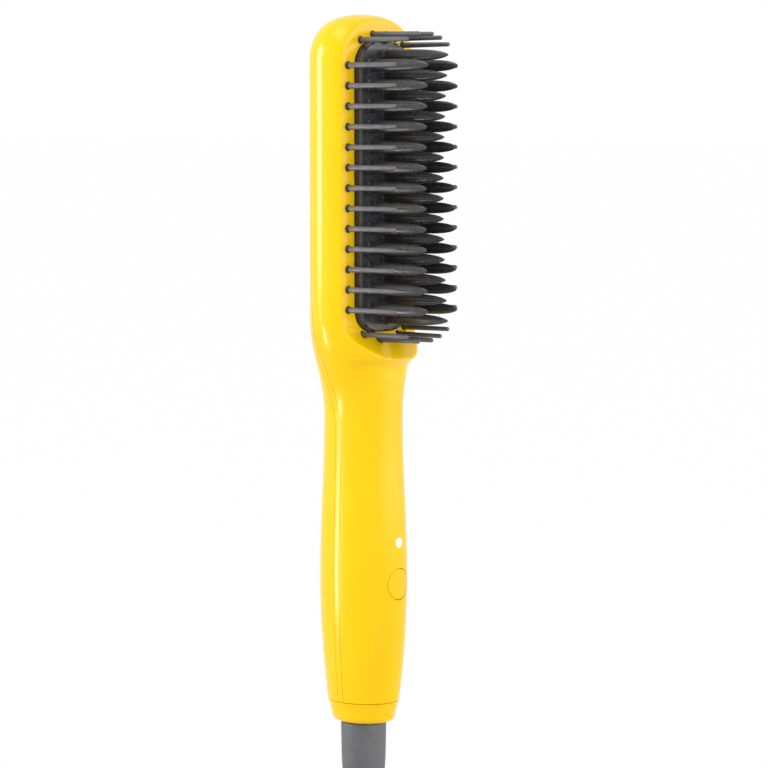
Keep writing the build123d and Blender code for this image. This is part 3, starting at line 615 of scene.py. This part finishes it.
def bladeShape(x, height, length):
    # an ellipse that shrinks along the blade by a power of (1 - share^n) and flares a little where it meets the plate
    share = np.array(comb["bladeRings"])[:, None]
    power, root = comb["sideTip"] if x else comb["middleTip"]
    size = (1 - share ** power) ** root + comb["baseFlare"] * np.exp(-share * length / comb["baseFlareReach"])
    rings = frontRings(x, height, comb["plateTop"] + share * length,
                       comb["bladeHalfThickness"] * size, comb["bladeHalfHeight"] * size, comb["bladeAround"])
    return skin(rings, (x, -comb["plateTop"], height), (x, -comb["plateTop"] - length, height))


def pinShape(x, height):
    # a straight taper that ends in a half ball
    turn = np.linspace(0, np.pi / 2, pins["tipRings"])[:-1, None]
    end = housing["face"] + pins["length"] - pins["tipRadius"]
    reach = np.vstack([[[pins["root"]]], [[housing["face"]]], end + pins["tipRadius"] * np.sin(turn)])
    atFace = pins["rootRadius"] - pins["faceTaper"]
    radius = np.vstack([[[pins["rootRadius"]]], [[atFace]], pins["tipRadius"] * np.cos(turn)])
    rings = frontRings(x, height, reach, radius, radius, pins["around"])
    return skin(rings, (x, -pins["root"], height), (x, -housing["face"] - pins["length"], height))


def shadeCollarShape(x, height):
    # a short black sleeve that bites into its pin, put there as painted shade for the shadow in the pin's hole: up its
    # outside, rounded over at the rim, and back down inside
    rim, outer = housing["face"] + pins["shadeCollarRise"], pins["shadeCollarRadius"]
    inner = pins["rootRadius"] - pins["shadeCollarBite"]
    radius = np.array([inner, outer, outer, outer - pins["shadeCollarBite"], inner])[:, None]
    reach = np.array([pins["shadeCollarFoot"], pins["shadeCollarFoot"], rim - pins["shadeCollarRound"], rim, rim])[:, None]
    return skin(frontRings(x, height, reach, radius, radius, pins["around"]), loop=True)


for name, shape, places, slot, nodes in (
    ("combBladeLeaves", bladeShape, bladePlaces(), "coated_casting", ["comb_blades"]),
    ("coolPinRing", pinShape, pinPlaces(), "pin_plastic", ["cool_pins"]),
    # black sleeves of painted shade in the pin holes
    ("pinHoleShadeCollars", shadeCollarShape, pinPlaces(), "black_plastic", ()),
):
    piece = meshObject(name, joined([shape(*place) for place in places]), outward=True)
    finished(piece, slot, "brush", nodes, crease=50)


buttonCap = {
    "edge": 0.45, "dish": 0.25, "capBack": 12.8,
    "flangeRadius": 7.3, "flangeBack": 11.6, "stemRadius": 2.2, "stemBack": 8.3,
}
lightLens = {"edge": 0.25, "dish": -0.15, "back": 7.6}  # a dish below 0 bulges
disc = {"around": 96, "rings": 12, "edgeRings": 7}


def discShape(height, radius, edge, dish, under):
    # a round end that follows the handle's front: lowered in its middle by the dish and rounded over at its rim,
    # then rings of (radius, front) down its side
    flat = radius - edge
    rim = 1 - edge / radius * (1 - np.sin(np.linspace(0, np.pi / 2, disc["edgeRings"])[1:]))
    share = np.concatenate([np.linspace(0, 1, disc["rings"])[1:] * flat / radius, rim])[:, None]
    angle = -np.arange(disc["around"])[None] * 2 * np.pi / disc["around"]
    x, z = radius * share * np.sin(angle), height + radius * share * np.cos(angle)
    width, front, _ = sectionSizes(z)
    over = np.clip((radius * share - flat) / edge, 0, 1)
    lowered = dish * np.clip(1 - (share * radius / flat) ** 2, 0, 1)
    drop = edge * (1 - np.sqrt(np.clip(1 - over ** 2, 0, 1))) + lowered
    level = front * np.sqrt(1 - (x / width) ** 2) - drop
    rings = [np.stack([x, -level, z], -1)]
    for ringRadius, ringFront in under:
        ringX, ringZ = ringRadius * np.sin(angle), height + ringRadius * np.cos(angle)
        rings.append(np.stack([ringX, np.full(angle.shape, -ringFront), ringZ], -1))
    middle = sectionSizes(np.array(height))[1] - dish
    return skin(np.concatenate(rings), (0, -middle, height), (0, -under[-1][1], height))


buttonSide = [
    (controls["buttonRadius"], buttonCap["capBack"]), (buttonCap["flangeRadius"], buttonCap["capBack"]),
    (buttonCap["flangeRadius"], buttonCap["flangeBack"]), (buttonCap["stemRadius"], buttonCap["flangeBack"]),
    (buttonCap["stemRadius"], buttonCap["stemBack"]),
]
lightSide = [(controls["lightRadius"], lightLens["back"])]
for name, control, form, under, slot, body, nodes in (
    ("powerButtonCap", "button", buttonCap, buttonSide, "housing_plastic", "button", ["power_button"]),
    ("lightGuideLens", "light", lightLens, lightSide, "light_guide_plastic", "brush", ["light_guide"]),
):
    shape = discShape(controls[control + "Height"], controls[control + "Radius"], form["edge"], form["dish"], under)
    finished(meshObject(name, shape, outward=True), slot, body, nodes)


boot = {
    # radius and height, from the cord's hole up the outside and back down the bore
    "profile": [
        (3.4, -34.0), (5.0, -34.0), (5.35, -33.85), (5.6, -33.4), (6.1, -31.0), (7.1, -27.0), (8.0, -22.8),
        (8.55, -18.8), (8.75, -15.0), (8.85, -10.0), (8.95, -5.0), (9.0, -1.2), (8.92, -0.7), (8.6, -0.36),
        (8.3, -0.3), (4.55, -0.3), (4.55, -12.0), (3.4, -12.0),
    ],
    "around": 128,
}
radius, height = np.array(boot["profile"]).T[:, :, None]
angle = np.arange(boot["around"]) * 2 * np.pi / boot["around"]
bootRings = np.stack([radius * np.cos(angle), radius * np.sin(angle), height + 0 * angle], -1)
finished(meshObject("cordBootSleeve", skin(bootRings, loop=True)), "boot_rubber", "swivel", ["cord_boot"], crease=40)


studio = {
    "floorReach": 40000.0, "floorGap": 0.5, "floorTone": 0.7,
    "shadowShare": 0.012,  # how much of the floor's own shading the camera sees
    "paperGrain": 2.5, "paperDepth": 0.1, "paperBump": 0.1,
    "worldStrength": 0.56, "lampAim": 0.15,  # metres up the brush that the lamps point to
}

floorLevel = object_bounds()[0].z * 1000 - studio["floorGap"]
corners = studio["floorReach"] * np.array([(-1, -1, 0), (1, -1, 0), (1, 1, 0), (-1, 1, 0)])
floor = meshObject("floor", (corners + np.array([0, 0, floorLevel]), [[0, 1, 2, 3]]))


def whiteToCamera(tree, surface, share):
    # seen directly or in gloss and glass it is plain white, but for the share that keeps the object's shadow
    path = addNode(tree, "ShaderNodeLightPath").outputs
    seen = path["Is Camera Ray"]
    for other in ("Is Glossy Ray", "Is Transmission Ray"):
        either = addNode(tree, "ShaderNodeMath", settings={"operation": "MAXIMUM"}, links={0: seen, 1: path[other]})
        seen = either.outputs[0]
    amount = addNode(tree, "ShaderNodeMath", {1: 1 - share}, {"operation": "MULTIPLY"}, {0: seen})
    kind = "ShaderNodeEmission" if share else "ShaderNodeBackground"
    white = addNode(tree, kind, {"Color": (1, 1, 1, 1), "Strength": 1.0})
    mixed = addNode(tree, "ShaderNodeMixShader", links={0: amount.outputs[0], 1: surface, 2: white.outputs[0]})
    return mixed.outputs[0]


# pale matt paper: even and without shine, with a soft tooth of 2.5 mm, drawn coarse so that it shows at all
paper = bpy.data.materials.new("paleFloorPaper")
paper.use_nodes = True
tree = paper.node_tree
tree.nodes.clear()
paperGrain = addNode(tree, "ShaderNodeTexNoise", {"Scale": 1000 / studio["paperGrain"]})
paperBump = addNode(tree, "ShaderNodeBump", {"Strength": studio["paperBump"], "Distance": studio["paperDepth"] / 1000},
                    links={"Height": paperGrain.outputs["Fac"]})
tone = studio["floorTone"]
matt = addNode(tree, "ShaderNodeBsdfDiffuse", {"Color": (tone, tone, tone, 1)},
               links={"Normal": paperBump.outputs["Normal"]})
addNode(tree, "ShaderNodeOutputMaterial",
        links={"Surface": whiteToCamera(tree, matt.outputs[0], studio["shadowShare"])})
floor.data.materials.append(paper)

world = bpy.data.worlds.new("studioWorld")
scene.world = world
world.use_nodes = True
tree = world.node_tree
tree.nodes.clear()
dim = addNode(tree, "ShaderNodeBackground", {"Color": (1, 1, 1, 1), "Strength": studio["worldStrength"]})
addNode(tree, "ShaderNodeOutputWorld", links={"Surface": whiteToCamera(tree, dim.outputs[0], 0)})

lamps = {
    # name: metres aside, towards the camera and up; width and height of the panel; watts; what it shows in
    "stripHead": (-0.597, -0.055, 0.31, 0.12, 0.34, 3.5, "gloss"),  # the bright line down the head's side
    "stripHandle": (-0.345, 0.065, 0.029, 0.06, 0.12, 0.42, "gloss"),  # and down the handle
    "panelRight": (1.33, 0.43, 0.52, 2.4, 1.1, 25.0, "gloss"),  # the pale sheen on the handle's right
    "softLeft": (-1.3, 0.5, 0.5, 0.9, 0.9, 11.0, "shade"),
    "softRight": (1.15, 0.4, 0.25, 0.9, 0.9, 8.3, "shade"),
    "softFront": (0.3, 1.5, 0.3, 0.9, 0.9, 2.5, "shade"),
    "panelTop": (-0.4, 0.3, 1.6, 0.9, 0.9, 8.0, "both"),
}
for name, (across, near, up, width, height, watts, shows) in lamps.items():
    lampData = bpy.data.lights.new(name, "AREA")
    lampData.shape, lampData.size, lampData.size_y, lampData.energy = "RECTANGLE", width, height, watts
    lamp = bpy.data.objects.new(name, lampData)
    lamp.location = aside * across + towards * near + Vector((0, 0, up))
    lamp.rotation_euler = (Vector((0, 0, studio["lampAim"])) - lamp.location).to_track_quat("-Z", "Y").to_euler()
    lamp.visible_camera, lamp.visible_diffuse, lamp.visible_glossy = False, shows != "gloss", shows != "shade"
    scene.collection.objects.link(lamp)
print("studio lit")
